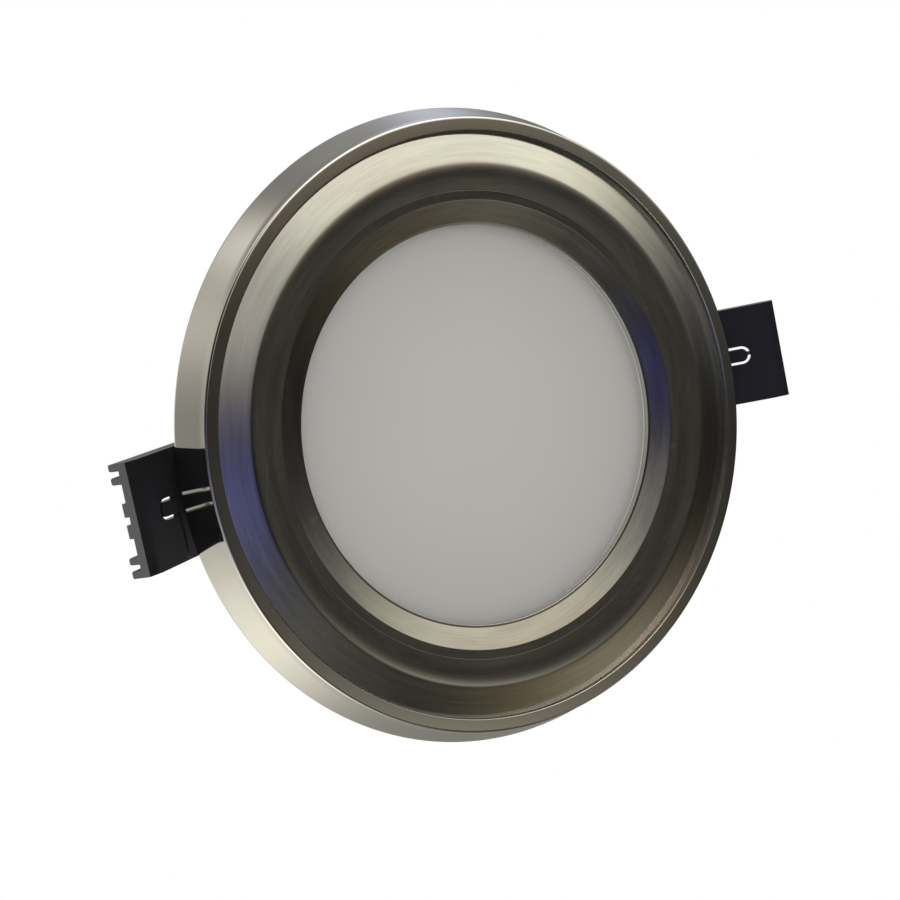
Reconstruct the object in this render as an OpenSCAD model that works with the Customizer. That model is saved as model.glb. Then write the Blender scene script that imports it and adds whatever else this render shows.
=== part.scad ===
// Recessed soffit downlight: a round metal trim with an opal diffuser, a finned
// heat sink behind it and two spring clips that pull the trim against the soffit.
// Millimetres. +Z points up into the soffit and the light shines down, along -Z.
// The origin is the centre of the face that the trim presses on the soffit.

/* [Trim] */
// Diameter of the trim at the soffit
flange_d = 110; // [106:0.5:116]
// How far the rim stands below the soffit
flange_depth = 7; // [6.5:0.1:8.5]
// How much the outer wall leans in from the soffit to the rim
wall_flare = 2.6; // [1:0.1:3]
// Width of the flat band round the rim
rim_band_w = 2.2; // [1.6:0.1:2.8]
// Slope of that step, from the band down into the dish
step_slope = 0.15; // [0.1:0.05:0.3]
// Radius of the rim's outer corner
rim_round = 0.35; // [0.2:0.05:0.6]
// Width of the contact ring outside the soffit gasket
contact_w = 3.6; // [3:0.1:4]
// Thickness of the trim's metal behind the dish
trim_wall = 1.6; // [1.2:0.1:2]

/* [Dish] */
// Width of the dish from the rim band in to the narrow land
dish_w = 10; // [9:0.1:11]
// Depth of the step inside the rim band
step_depth = 0.9; // [0.8:0.05:1.1]
// How far the swell of the dish lies behind the rim
crest_depth = 0.25; // [0.2:0.05:0.4]
// Distance from the rim band in to the top of the swell
crest_inset = 5.5; // [5:0.1:6]
// How round the swell is: 1 is two straight slopes, 2 is a full curve
swell_power = 1.4; // [1.2:0.1:2]
// How far the narrow land round the cone lies behind the rim
land_depth = 1.9; // [1.7:0.1:2.2]
// Width of the narrow land
land_w = 1.6; // [1.2:0.1:2]
// Width of the inner cone
cone_w = 3.7; // [3.3:0.1:4]
// How far the lip round the diffuser lies behind the rim
lip_depth = 3.3; // [2.8:0.1:3.6]
// Width of the lip
lip_w = 0.4; // [0.3:0.05:0.6]

/* [Diffuser] */
// Width of the ledge that the diffuser sits on
ledge_w = 2.1; // [1.8:0.1:2.4]
// Thickness of the metal ledge
ledge_t = 1.2; // [1:0.1:1.4]
// Thickness of the gasket under the diffuser
lens_gasket_t = 0.6; // [0.4:0.05:0.8]
// Thickness of the opal diffuser
diffuser_t = 2; // [1.5:0.1:2.5]
// Wall of the white reflector
reflector_wall = 0.9; // [0.8:0.1:1.2]
// Distance from the light board's edge in to the reflector's opening
reflector_inset = 3.3; // [2.5:0.1:4]

/* [Soffit gasket] */
// Width of the foam ring
soffit_gasket_w = 4.6; // [3.5:0.1:4.8]
// Thickness of the foam ring, pressed flat
soffit_gasket_t = 2; // [1.5:0.1:2.2]

/* [Heat sink] */
// Height of the trim's hub above the soffit face
hub_h = 5; // [4.8:0.1:6]
// Wall of the trim's hub
hub_wall = 3.9; // [3.8:0.1:4.2]
// Thickness of the heat sink's foot
foot_t = 2.5; // [2:0.1:3]
// How far the heat sink's body stands in from the edge of its foot
sink_step = 4; // [3.6:0.1:4.4]
// Wall of the heat sink's body
sink_wall = 2.5; // [2:0.1:2.6]
// Height of the light chamber, from the diffuser to the light board
chamber_h = 11.9; // [11:0.1:13]
// Thickness of the plate that carries the fins
sink_plate_t = 3; // [2.5:0.1:4]
// Height of the fins
fin_h = 19; // [15:0.5:24]
// Thickness of a fin
fin_t = 1.5; // [1.2:0.1:2]
// Number of fins
fin_count = 20; // [14:2:24]
// Size of the slope at the fins' outer top corners
fin_chamfer = 4; // [2:0.5:6]
// Radius of the clear space between the fins, round the cable gland
fin_bore_r = 10.5; // [9.5:0.5:14]
// Radius of the core that holds the cable gland
core_r = 9; // [8.5:0.5:9.5]
// Height of the core above the plate
core_h = 3; // [2:0.5:5]
// Width of the rubber seal between hub and heat sink
body_seal_w = 1; // [0.8:0.1:1.2]
// Depth of the groove for that seal
body_seal_t = 1; // [0.8:0.1:1.4]

/* [Light board] */
// Gap between the light board and the wall of the heat sink
board_room = 2.5; // [2:0.1:3.5]
// Thickness of the light board
board_t = 1.6; // [1:0.1:2]
// Thickness of the thermal pad
pad_t = 0.4; // [0.3:0.05:0.8]
// Radius of the hole in the middle of the board
board_hole_r = 2.6; // [2.4:0.1:3]
// Distance from the board's screws in to the outer ring of chips
chip_inset = 4.3; // [4.2:0.1:6]
// Distance between two rings of chips
chip_ring_step = 8; // [6:0.5:9]
// Least spacing of the chips along a ring
chip_spacing = 9.4; // [6:0.1:12]
// Length, width and height of a chip
chip_size = [3.5, 2.8, 0.7]; // [0.5:0.1:4]
// Depth of the round dish in a chip's face
chip_dish = 0.15; // [0.1:0.05:0.3]
// Length, width and height of the wire terminal
terminal_size = [5.5, 6, 3.4]; // [2.5:0.1:8]
// Distance from the middle to the wire terminal
terminal_x = 4.6; // [4:0.1:6]
// Radius of a lead over its sleeve
lead_r = 0.65; // [0.5:0.05:0.8]
// Distance of a lead from the centre line
lead_offset = 1.2; // [1:0.05:1.4]
// Bend radius of a lead under the board
lead_bend = 1.6; // [1.4:0.1:2]

/* [Spring clips] */
// Angle of a clip arm below the soffit plane at rest
clip_angle = 37.5; // [35:0.5:39]
// Distance of the hinge from the bracket's plate
hinge_stand = 4.6; // [4.3:0.1:5]
// Radius of the clip's hinge barrel
barrel_r = 2.1; // [1.9:0.05:2.3]
// Radius of the steel hinge pin
pin_r = 1; // [0.8:0.05:1.1]
// Length of a clip arm from hinge to tip
arm_len = 30.2; // [28:0.1:33]
// Width of a clip arm
arm_w = 18.1; // [17:0.1:19]
// Thickness of the clip's plate
arm_t = 1.4; // [1.2:0.1:1.6]
// Length of the clip's tip, which bends back
tip_len = 2.6; // [2:0.1:3.5]
// How far the tip bends back
tip_bend = 0.7; // [0.3:0.1:1]
// Height of the ribs on the clip's back
rib_h = 2.6; // [2:0.1:2.8]
// Width of a rib
rib_w = 1.2; // [1:0.1:1.3]
// Clear space between the outer and the inner rib
rib_gap = 0.9; // [0.7:0.1:1.2]
// Distance from the hinge to where the ribs start
rib_start = 6; // [5:0.5:10]
// Width of the raised block that holds the spring's leg
block_w = 5.6; // [5:0.1:6]
// Height of that block
block_h = 1; // [0.9:0.1:1.2]
// Width of the tongue in the clip's window
tongue_w = 2.35; // [2:0.05:2.6]
// Width of the gap round the tongue
window_gap = 0.55; // [0.45:0.05:0.7]
// Distance from the tip to the window
window_inset = 5.7; // [5:0.1:6.5]
// Length of the window
window_len = 5.3; // [4.5:0.1:7]

/* [Clip brackets] */
// Thickness of the bracket's steel
bracket_t = 1; // [0.8:0.1:1.2]
// Height of the bracket's foot plate
bracket_h = 8.8; // [8:0.1:9]
// Outer radius of a bracket ear round the pin
ear_r = 2.4; // [2.2:0.05:2.6]
// Radius of a pin head
pin_head_r = 1.7; // [1.5:0.05:1.9]
// Thickness of a pin head
pin_head_t = 0.7; // [0.5:0.1:0.8]

/* [Clip springs] */
// Diameter of the spring wire
wire_d = 0.8; // [0.7:0.05:0.9]
// Mean radius of the coil
coil_r = 1.8; // [1.75:0.05:1.9]
// Spacing of the coil's turns
coil_pitch = 1.35; // [1.32:0.01:1.5]
// Whole turns of the coil
coil_turns = 4; // [3:1:4]
// Distance along the clip at which the long leg presses
long_leg = 27; // [26:0.1:28]

/* [Cable gland] */
// Radius of the gland's screwed shank
gland_shank_r = 4; // [3.5:0.1:4.5]
// Width across the flats of the gland's hexagon
gland_hex = 14; // [13:0.5:17]
// Height of that hexagon
gland_hex_h = 3.5; // [3:0.1:5]
// Radius of the gland's upper thread
gland_thread_r = 5.6; // [5.4:0.1:6]
// Height of the gland's upper thread
gland_thread_h = 5.5; // [5:0.1:7]
// Radius of the hole through the gland
gland_bore_r = 3; // [2.9:0.1:3.2]
// Radius of the cable that the seal takes
cable_r = 2.5; // [2:0.1:2.7]
// Thickness of the washer under the gland
gland_washer_t = 1; // [0.8:0.1:1.5]
// Height of the dome on the gland's nut
gland_dome_h = 3; // [2.5:0.1:4]

/* [Screws] */
// Shank radius of the four screws that join heat sink and trim
body_screw_r = 1.5; // [1.2:0.05:1.6]
// How far those screws stand outside the edge of the hub
body_screw_out = 0.5; // [0.3:0.1:0.7]
// Length of those screws under the head
body_screw_len = 8.5; // [7:0.1:8.8]
// Shank radius of the small screws
small_screw_r = 1.2; // [1:0.05:1.3]
// Distance from the reflector's opening in to the board's screws
board_screw_inset = 2.9; // [2.6:0.1:3.2]
// Number of screws that hold the board
board_screw_count = 3; // [3:1:4]
// Half the spacing of a bracket's two screws
bracket_screw_y = 5; // [4:0.1:6]

/* [Clearances] */
// Radial play between pin and clip
pin_play = 0.05; // [0.03:0.01:0.08]
// Play between screw and hole
screw_play = 0.1; // [0.05:0.01:0.15]
// Play round the diffuser
lens_play = 0.2; // [0.1:0.05:0.3]
// Gap between the resting clip and the trim's edge
rest_gap = 0.3; // [0.2:0.05:0.4]
// Side play of a clip between its bracket's ears
side_play = 0.4; // [0.3:0.05:0.6]

/* [Hidden] */
$fn = 96;

// Radii of the trim, from the outside in
flange_r = flange_d / 2;
rim_r = flange_r - wall_flare;
band_r = rim_r - rim_band_w;
land_out_r = band_r - dish_w;
land_in_r = land_out_r - land_w;
lip_r = land_in_r - cone_w;
light_r = lip_r - lip_w;
crest_r = band_r - crest_inset;
gasket_out_r = flange_r - contact_w;
gasket_in_r = gasket_out_r - soffit_gasket_w;

// Heights of the trim, from the rim up
rim_z = -flange_depth;
step_z = rim_z + step_depth;
crest_z = rim_z + crest_depth;
land_z = rim_z + land_depth;
lip_z = rim_z + lip_depth;
ledge_z = lip_z + ledge_t;
gasket_z = -soffit_gasket_t;
gasket_room = 0.4;
trim_back_z = min(land_z + trim_wall, gasket_z - 0.2);
curve_steps = 16;

// The stack on the ledge: gasket, diffuser, light chamber, board and pad
pocket_r = light_r + ledge_w;
lens_r = pocket_r - lens_play;
diffuser_z = ledge_z + lens_gasket_t;
chamber_z = diffuser_z + diffuser_t;
board_z = chamber_z + chamber_h;
pad_z = board_z + board_t;
plate_z = pad_z + pad_t;
fin_z = plate_z + sink_plate_t;
core_z = fin_z + core_h;
hub_r = pocket_r + hub_wall;
sink_r = hub_r - sink_step;
sink_in_r = sink_r - sink_wall;
foot_z = hub_h + foot_t;
seal_inset = 0.8;
seal_in_r = pocket_r + seal_inset;
seal_play = 0.05;
boss_wall = 1.7;
boss_r = body_screw_r + boss_wall;
body_screw_pcr = hub_r + body_screw_out;
board_r = sink_in_r - board_room;
reflector_top_r = board_r - reflector_inset;
board_screw_pcr = reflector_top_r - board_screw_inset;
board_screw_turn = 30;
pad_inset = 2;
pad_hole_room = 0.6;
pad_screw_room = 0.5;
// Overlap of shapes that are joined into one piece
bite = 0.5;
// Length of a cutting shape beyond what it cuts
over = 1;

// Rings of chips, from the wire terminal out to the board's screws
chip_room = 0.9;
chip_out_r = board_screw_pcr - chip_inset;
chip_in_r = terminal_x + terminal_size[0] + chip_size[0] / 2 + chip_room;
chip_ring_count = floor((chip_out_r - chip_in_r) / chip_ring_step) + 1;
chip_rings = [for (k = [chip_ring_count - 1 : -1 : 0]) chip_out_r - k * chip_ring_step];

// Cable gland, from the core up
hex_z = core_z + gland_washer_t;
thread_z = hex_z + gland_hex_h;
seal_seat_r = gland_thread_r - 1.2;
seal_z = thread_z + 0.5;
seal_h = gland_thread_h + 0.5;
nut_wall = 1.4;
nut_r = gland_thread_r + nut_wall;
nut_z = thread_z + 0.6;
dome_z = thread_z + gland_thread_h + 0.2;

// Clip hinge: the clip's front face passes rest_gap above the trim's back edge
flat_cut = 0.3;
pad_x = sink_r - flat_cut;
plate_x = pad_x + bracket_t;
pivot_r = plate_x + hinge_stand;
pivot_z = ((flange_r - pivot_r) * sin(clip_angle) + barrel_r + rest_gap) / cos(clip_angle);
ear_y = arm_w / 2 + side_play;
bracket_z = fin_z - bracket_h;
bracket_screw_drop = 2.4;
bracket_screw_z = pivot_z - bracket_screw_drop;
ear_out_y = ear_y + bracket_t;
pin_bore_r = pin_r + pin_play;
plate_back = arm_t - barrel_r;
groove_w = wire_d + 0.4;
groove_v = plate_back + block_h - wire_d / 2;
coil_w = coil_pitch * coil_turns;
coil_room = 0.7;
wire_gap = 0.05;

// The heat sink's pads and flats for the brackets, and the ends of the screw holes
pad_start = 20;
flat_room = 0.3;
flat_depth = 10;
blind_end = 0.6;
screw_end_gap = 0.4;
bracket_hole_depth = 2;

// Shapes used by more than one part

// A flat ring between two radii
module ring(r_in, r_out, z, h) {
    translate([0, 0, z])
        difference() {
            cylinder(r = r_out, h = h);
            translate([0, 0, -over]) cylinder(r = r_in, h = h + over * 2);
        }
}

// Copies round the Z axis
module around(count, start = 0) {
    for (i = [0 : count - 1])
        rotate([0, 0, start + i * 360 / count]) children();
}

// A pan-head screw that hangs from its head: the shank points down from z = 0
module pan_screw(r, len) {
    head_r = r * 1.85;
    head_h = r * 1.1;
    wall_h = head_h * 0.55;
    top_r = head_r * 0.78;
    slot_w = r * 0.36;
    slot_z = head_h * 0.4;
    difference() {
        union() {
            translate([0, 0, -len]) cylinder(r = r, h = len, $fn = 32);
            cylinder(r = head_r, h = wall_h, $fn = 40);
            translate([0, 0, wall_h]) cylinder(r1 = head_r, r2 = top_r, h = head_h - wall_h, $fn = 40);
        }
        for (a = [0, 90])
            rotate([0, 0, a])
                translate([-r, -slot_w / 2, slot_z]) cube([r * 2, slot_w, head_h]);
    }
}

// Trim

// Height of the dish's swell at a radius
function swell_z(r) =
    r > crest_r
    ? crest_z + (step_z - crest_z) * pow((r - crest_r) / (band_r - crest_r), swell_power)
    : crest_z + (land_z - crest_z) * pow((crest_r - r) / (crest_r - land_out_r), swell_power);

function swell_points() =
    let (start_r = band_r - step_slope)
    [
        for (i = [0 : curve_steps])
            let (r = start_r - i * (start_r - land_out_r) / curve_steps)
            [r, swell_z(r)]
    ];

function corner_points() = [
    for (a = [0 : 22.5 : 90])
        [rim_r - rim_round + rim_round * cos(a), rim_z + rim_round - rim_round * sin(a)]
];

// Outline of the hub and the heat sink's foot: a disc with an ear for each body screw
module hub_outline() {
    circle(r = hub_r, $fn = 180);
    around(4, 45) translate([body_screw_pcr, 0]) circle(r = boss_r, $fn = 48);
}

module bezel() {
    edge_h = 0.4;
    land_rise = 0.1;
    lip_rise = 0.05;
    hub_start = trim_back_z - 0.2;
    profile = concat(
        [[flange_r, 0], [flange_r, -edge_h]],
        corner_points(),
        [[band_r, rim_z]],
        swell_points(),
        [
            [land_in_r, land_z + land_rise],
            [lip_r, lip_z],
            [light_r, lip_z + lip_rise],
            [light_r, ledge_z],
            [pocket_r + bite, ledge_z],
            [pocket_r + bite, trim_back_z],
            [gasket_in_r - gasket_room, trim_back_z],
            [gasket_in_r - gasket_room, gasket_z],
            [gasket_out_r, gasket_z],
            [gasket_out_r, 0]
        ]
    );
    color("silver")
        difference() {
            union() {
                rotate_extrude($fn = 180) polygon(profile);
                translate([0, 0, hub_start])
                    linear_extrude(hub_h - hub_start)
                        difference() {
                            hub_outline();
                            circle(r = pocket_r, $fn = 180);
                        }
            }
            ring(seal_in_r, seal_in_r + body_seal_w, hub_h - body_seal_t, body_seal_t + over);
            around(4, 45)
                translate([body_screw_pcr, 0, foot_z - body_screw_len - screw_end_gap])
                    cylinder(r = body_screw_r, h = body_screw_len + over, $fn = 48);
        }
}

module soffit_gasket() {
    color("dimgray") ring(gasket_in_r, gasket_out_r - 0.1, gasket_z, soffit_gasket_t);
}

module diffuser_gasket() {
    color("white") ring(light_r + lens_play, lens_r, ledge_z, lens_gasket_t);
}

module diffuser() {
    edge = 0.3;
    color("whitesmoke")
        rotate_extrude($fn = 180)
            polygon([
                [0, diffuser_z],
                [lens_r - edge, diffuser_z],
                [lens_r, diffuser_z + edge],
                [lens_r, chamber_z],
                [0, chamber_z]
            ]);
}

module reflector() {
    top_z = board_z - 0.4;
    skirt_z = chamber_z + 1.5;
    color("white")
        rotate_extrude($fn = 180)
            polygon([
                [lens_r, chamber_z],
                [lens_r, hub_h],
                [lens_r - reflector_wall, hub_h],
                [lens_r - reflector_wall, skirt_z],
                [reflector_top_r + reflector_wall, top_z],
                [reflector_top_r, top_z],
                [light_r - 0.1, chamber_z]
            ]);
}

// Light board

module led_board() {
    color("ivory")
        difference() {
            translate([0, 0, board_z]) cylinder(r = board_r, h = board_t);
            translate([0, 0, board_z - over]) cylinder(r = board_hole_r, h = board_t + over * 2, $fn = 48);
            around(board_screw_count, board_screw_turn)
                translate([board_screw_pcr, 0, board_z - over])
                    cylinder(r = small_screw_r + screw_play, h = board_t + over * 2, $fn = 32);
        }
}

module led_chips() {
    dish_r = chip_size[1] * 0.38;
    color("khaki")
        for (r = chip_rings)
            let (count = floor(2 * PI * r / chip_spacing))
            around(count, 180 / count)
                translate([r, 0, board_z - chip_size[2]])
                    difference() {
                        translate([-chip_size[0] / 2, -chip_size[1] / 2, 0]) cube(chip_size);
                        translate([0, 0, -over]) cylinder(r = dish_r, h = over + chip_dish, $fn = 24);
                    }
}

module board_terminal() {
    wire_z = board_z - terminal_size[2] / 2;
    color("white")
        difference() {
            translate([terminal_x, -terminal_size[1] / 2, board_z - terminal_size[2]]) cube(terminal_size);
            for (s = [-1, 1]) {
                translate([terminal_x - 1, s * lead_offset, wire_z])
                    rotate([0, 90, 0]) cylinder(r = lead_r + 0.05, h = 3, $fn = 32);
                translate([terminal_x + terminal_size[0] * 0.65, s * lead_offset, board_z - terminal_size[2] - 1])
                    cylinder(r = 0.8, h = 1.8, $fn = 32);
            }
        }
}

module thermal_pad() {
    color("lightsteelblue")
        difference() {
            translate([0, 0, pad_z]) cylinder(r = board_r - pad_inset, h = pad_t);
            translate([0, 0, pad_z - over])
                cylinder(r = board_hole_r + pad_hole_room, h = pad_t + over * 2, $fn = 48);
            around(board_screw_count, board_screw_turn)
                translate([board_screw_pcr, 0, pad_z - over])
                    cylinder(r = small_screw_r + pad_screw_room, h = pad_t + over * 2, $fn = 32);
        }
}

module board_screws() {
    len = board_t + pad_t + sink_plate_t - blind_end - 0.2;
    color("gainsboro")
        around(board_screw_count, board_screw_turn)
            translate([board_screw_pcr, 0, board_z])
                rotate([180, 0, 0]) pan_screw(small_screw_r, len);
}

// One lead: down through the board, round a bend and into the terminal
module lead(side) {
    wire_z = board_z - terminal_size[2] / 2;
    top_z = seal_z - 2;
    translate([0, side * lead_offset, 0]) {
        translate([0, 0, wire_z + lead_bend])
            cylinder(r = lead_r, h = top_z - wire_z - lead_bend, $fn = 32);
        translate([lead_bend, 0, wire_z + lead_bend])
            rotate([90, 0, 0])
                rotate([0, 0, 180])
                    rotate_extrude(angle = 90, $fn = 48)
                        translate([lead_bend, 0]) circle(r = lead_r, $fn = 32);
        translate([lead_bend, 0, wire_z])
            rotate([0, 90, 0]) cylinder(r = lead_r, h = terminal_x + 1.8 - lead_bend, $fn = 32);
    }
}

module lead_positive() { color("firebrick") lead(1); }

module lead_negative() { color("black") lead(-1); }

// Heat sink

module fins() {
    top_z = fin_z + fin_h;
    intersection() {
        around(fin_count, 180 / fin_count)
            translate([fin_bore_r, -fin_t / 2, fin_z - 1]) cube([sink_r, fin_t, fin_h + 1]);
        rotate_extrude()
            polygon([
                [0, fin_z - 1],
                [sink_r, fin_z - 1],
                [sink_r, top_z - fin_chamfer],
                [sink_r - fin_chamfer, top_z],
                [0, top_z]
            ]);
    }
}

module heat_sink() {
    color("darkgray")
        difference() {
            union() {
                translate([0, 0, hub_h]) linear_extrude(foot_t) hub_outline();
                translate([0, 0, hub_h + bite]) cylinder(r = sink_r, h = fin_z - hub_h - bite);
                for (s = [0, 180])
                    rotate([0, 0, s])
                        translate([pad_start, -ear_out_y, foot_z - bite])
                            cube([pad_x - pad_start, ear_out_y * 2, fin_z - foot_z + bite]);
                translate([0, 0, fin_z - bite]) cylinder(r = core_r, h = core_h + bite);
                fins();
            }
            // the light chamber
            translate([0, 0, hub_h - over]) cylinder(r = sink_in_r, h = plate_z - hub_h + over);
            translate([0, 0, plate_z - over])
                cylinder(r = gland_shank_r, h = core_z - plate_z + over * 2, $fn = 64);
            // flats for the clip brackets
            for (s = [0, 180])
                rotate([0, 0, s])
                    translate([pad_x, -ear_out_y - flat_room, foot_z])
                        cube([flat_depth, (ear_out_y + flat_room) * 2, fin_z - foot_z]);
            around(4, 45)
                translate([body_screw_pcr, 0, hub_h - over])
                    cylinder(r = body_screw_r + screw_play, h = foot_t + over * 2, $fn = 32);
            around(board_screw_count, board_screw_turn)
                translate([board_screw_pcr, 0, plate_z - over])
                    cylinder(r = small_screw_r, h = sink_plate_t - blind_end + over, $fn = 32);
            for (s = [0, 180], y = [-1, 1])
                rotate([0, 0, s])
                    translate([pad_x - bracket_hole_depth, y * bracket_screw_y, bracket_screw_z])
                        rotate([0, 90, 0]) cylinder(r = small_screw_r, h = bracket_hole_depth + over, $fn = 32);
        }
}

module body_seal() {
    color("dimgray")
        ring(seal_in_r + seal_play, seal_in_r + body_seal_w - seal_play, hub_h - body_seal_t, body_seal_t);
}

module body_screws() {
    color("gainsboro")
        around(4, 45)
            translate([body_screw_pcr, 0, foot_z]) pan_screw(body_screw_r, body_screw_len);
}

// Cable gland

module gland_washer() {
    color("dimgray") ring(gland_shank_r + 0.1, gland_hex / 2, core_z, gland_washer_t);
}

module cable_gland() {
    color("gray")
        difference() {
            union() {
                translate([0, 0, plate_z + 1]) cylinder(r = gland_shank_r, h = hex_z - plate_z - 0.5, $fn = 64);
                translate([0, 0, hex_z]) cylinder(d = gland_hex / cos(30), h = gland_hex_h, $fn = 6);
                translate([0, 0, hex_z]) cylinder(r = gland_thread_r, h = gland_hex_h + gland_thread_h, $fn = 64);
            }
            translate([0, 0, plate_z]) cylinder(r = gland_bore_r, h = seal_z - plate_z + 1, $fn = 64);
            translate([0, 0, seal_z]) cylinder(r = seal_seat_r, h = gland_thread_h + 1, $fn = 64);
        }
}

module gland_seal() {
    color("black") ring(cable_r, seal_seat_r - 0.05, seal_z, seal_h);
}

module gland_nut() {
    color("gray")
        difference() {
            union() {
                translate([0, 0, nut_z]) cylinder(d = nut_r * 2 / cos(30), h = dome_z - nut_z, $fn = 6);
                translate([0, 0, nut_z]) cylinder(r = nut_r, h = dome_z - nut_z, $fn = 64);
                translate([0, 0, dome_z]) cylinder(r1 = nut_r, r2 = seal_seat_r, h = gland_dome_h, $fn = 64);
            }
            translate([0, 0, nut_z - 1]) cylinder(r = gland_thread_r + 0.05, h = dome_z - nut_z + 1, $fn = 64);
            translate([0, 0, nut_z - 1]) cylinder(r = seal_seat_r, h = dome_z - nut_z + 1.8, $fn = 64);
            translate([0, 0, nut_z]) cylinder(r = cable_r + 0.6, h = dome_z, $fn = 64);
        }
}

// Spring clips. Each part is drawn for the clip on +X and turned half round for the other.
// Clip parts are drawn flat, with u along +X from the hinge and v along +Z, and the
// hinge on the Y axis.

module on_side(side) {
    rotate([0, 0, side > 0 ? 0 : 180]) children();
}

module at_hinge() {
    translate([pivot_r, 0, pivot_z]) children();
}

// A cylinder along Y, centred on the hinge
module along_y(r, len, n = 48) {
    rotate([90, 0, 0]) cylinder(r = r, h = len, center = true, $fn = n);
}

module clip_bracket(side) {
    color("lightgray")
        on_side(side)
            difference() {
                union() {
                    translate([pad_x, -ear_out_y, bracket_z]) cube([bracket_t, ear_out_y * 2, bracket_h]);
                    for (s = [-1, 1]) {
                        translate([pad_x, s > 0 ? ear_y : -ear_out_y, pivot_z - ear_r])
                            cube([pivot_r - pad_x, bracket_t, ear_r * 2]);
                        translate([pivot_r, s * (ear_y + bracket_t / 2), pivot_z])
                            along_y(ear_r, bracket_t);
                    }
                }
                at_hinge() along_y(pin_r, ear_out_y * 2 + 2);
                for (y = [-1, 1])
                    translate([pad_x - 1, y * bracket_screw_y, bracket_screw_z])
                        rotate([0, 90, 0]) cylinder(r = small_screw_r + screw_play, h = bracket_t + 2, $fn = 32);
            }
}

module bracket_screws(side) {
    color("gainsboro")
        on_side(side)
            for (y = [-1, 1])
                translate([plate_x, y * bracket_screw_y, bracket_screw_z])
                    rotate([0, 90, 0]) pan_screw(small_screw_r, bracket_t + 1.9);
}

module hinge_pin(side) {
    color("silver")
        on_side(side)
            at_hinge() {
                along_y(pin_r, ear_out_y * 2);
                for (s = [-1, 1])
                    translate([0, s * (ear_out_y + pin_head_t / 2), 0]) along_y(pin_head_r, pin_head_t);
            }
}

// A bar of the clip's side outline, from y along the hinge
module clip_bar(y, w, outline) {
    translate([0, y + w, 0]) rotate([90, 0, 0]) linear_extrude(w) polygon(outline);
}

// Side outline of the plate, bent back at its tip
function plate_outline() = [
    [0, -barrel_r],
    [arm_len - tip_len, -barrel_r],
    [arm_len, tip_bend - barrel_r],
    [arm_len, tip_bend + plate_back],
    [arm_len - tip_len, plate_back],
    [0, plate_back]
];

// Side outline of a rib or block on the plate's back, from a start with a slope
function raised_outline(start, slope, h, end_h) = [
    [start, plate_back - 0.1],
    [start + slope, plate_back + h],
    [arm_len - tip_len, plate_back + h],
    [arm_len, tip_bend + plate_back + end_h],
    [arm_len, tip_bend + plate_back - 0.1],
    [arm_len - tip_len, plate_back - 0.1]
];

// The window's outline: a slot with a round outer end
module slot_outline(w, end_x) {
    translate([end_x - window_len, -w / 2]) square([window_len - w / 2, w]);
    translate([end_x - w / 2, 0]) circle(d = w, $fn = 48);
}

module clip_window() {
    end_x = arm_len - window_inset;
    difference() {
        slot_outline(tongue_w + window_gap * 2, end_x);
        slot_outline(tongue_w, end_x - window_gap);
    }
}

module clip_arm(side) {
    half_w = arm_w / 2;
    block_x = arm_len - window_inset + 0.6;
    rib_y = [0, rib_w + rib_gap];
    color([0.09, 0.09, 0.1])
        on_side(side)
            at_hinge()
                rotate([0, clip_angle, 0])
                    difference() {
                        union() {
                            clip_bar(-half_w, arm_w, plate_outline());
                            along_y(barrel_r, arm_w);
                            for (inset = rib_y, s = [-1, 1])
                                clip_bar(s > 0 ? half_w - rib_w - inset : -half_w + inset, rib_w,
                                    raised_outline(rib_start, rib_h, rib_h, rib_h - tip_bend));
                            clip_bar(-block_w / 2, block_w, raised_outline(block_x, 0, block_h, block_h));
                        }
                        along_y(pin_bore_r, arm_w + 2);
                        // room for the spring between the two knuckles
                        translate([-barrel_r - 1, -coil_w - coil_room, -barrel_r - 1])
                            cube([barrel_r * 2 + 2.2, coil_w + coil_room * 2, barrel_r * 2 + 2]);
                        translate([block_x - 1, -groove_w / 2, groove_v])
                            cube([window_inset + 2, groove_w, block_h + tip_bend + 1]);
                        translate([0, 0, -barrel_r - 1]) linear_extrude(arm_t + 2) clip_window();
                    }
}

// The spring: a helix round the hinge pin, one leg along the clip's back and one
// on the bracket. Its path is worked out in the XZ plane round the hinge.

// Where the long leg presses on the clip, and where the short leg rests on the bracket
long_v = groove_v + wire_d / 2 + wire_gap;
long_end = [
    long_leg * cos(clip_angle) + long_v * sin(clip_angle),
    -long_leg * sin(clip_angle) + long_v * cos(clip_angle)
];
short_end = [plate_x + wire_d / 2 + wire_gap - pivot_r, fin_z - 1 - pivot_z];

// Angle at which a straight leg from a point touches the coil
function polar(p) = atan2(p[1], p[0]);
long_turn = polar(long_end) + acos(coil_r / norm(long_end));
short_turn = polar(short_end) - acos(coil_r / norm(short_end));
wound = short_turn - long_turn + 360 * coil_turns;
curl_rings = 8;
coil_rings = ceil(wound / 360 * curl_rings);

function coil_point(a) = let (t = (a - long_turn) / wound)
    [coil_r * cos(a), -t * coil_w, coil_r * sin(a)];
function coil_angle(i) = long_turn + wound * i / coil_rings;

// Each ring of the tube: its centre and the direction that points away from the hinge
spring_path = concat(
    [[[long_end[0], 0, long_end[1]], long_turn]],
    [for (i = [0 : coil_rings]) [coil_point(coil_angle(i)), coil_angle(i)]],
    [[[short_end[0], -coil_w, short_end[1]], short_turn]]
);
tube_sides = 6;

function unit(v) = v / norm(v);
function ring_points(i) =
    let (
        last = len(spring_path) - 1,
        here = spring_path[i][0],
        ahead = spring_path[min(i + 1, last)][0],
        behind = spring_path[max(i - 1, 0)][0],
        run = unit(ahead - behind),
        out = [cos(spring_path[i][1]), 0, sin(spring_path[i][1])],
        side = unit(cross(run, out)),
        up = cross(side, run)
    )
    [for (k = [0 : tube_sides - 1])
        here + wire_d / 2 * (cos(k * 360 / tube_sides) * up + sin(k * 360 / tube_sides) * side)];

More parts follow.
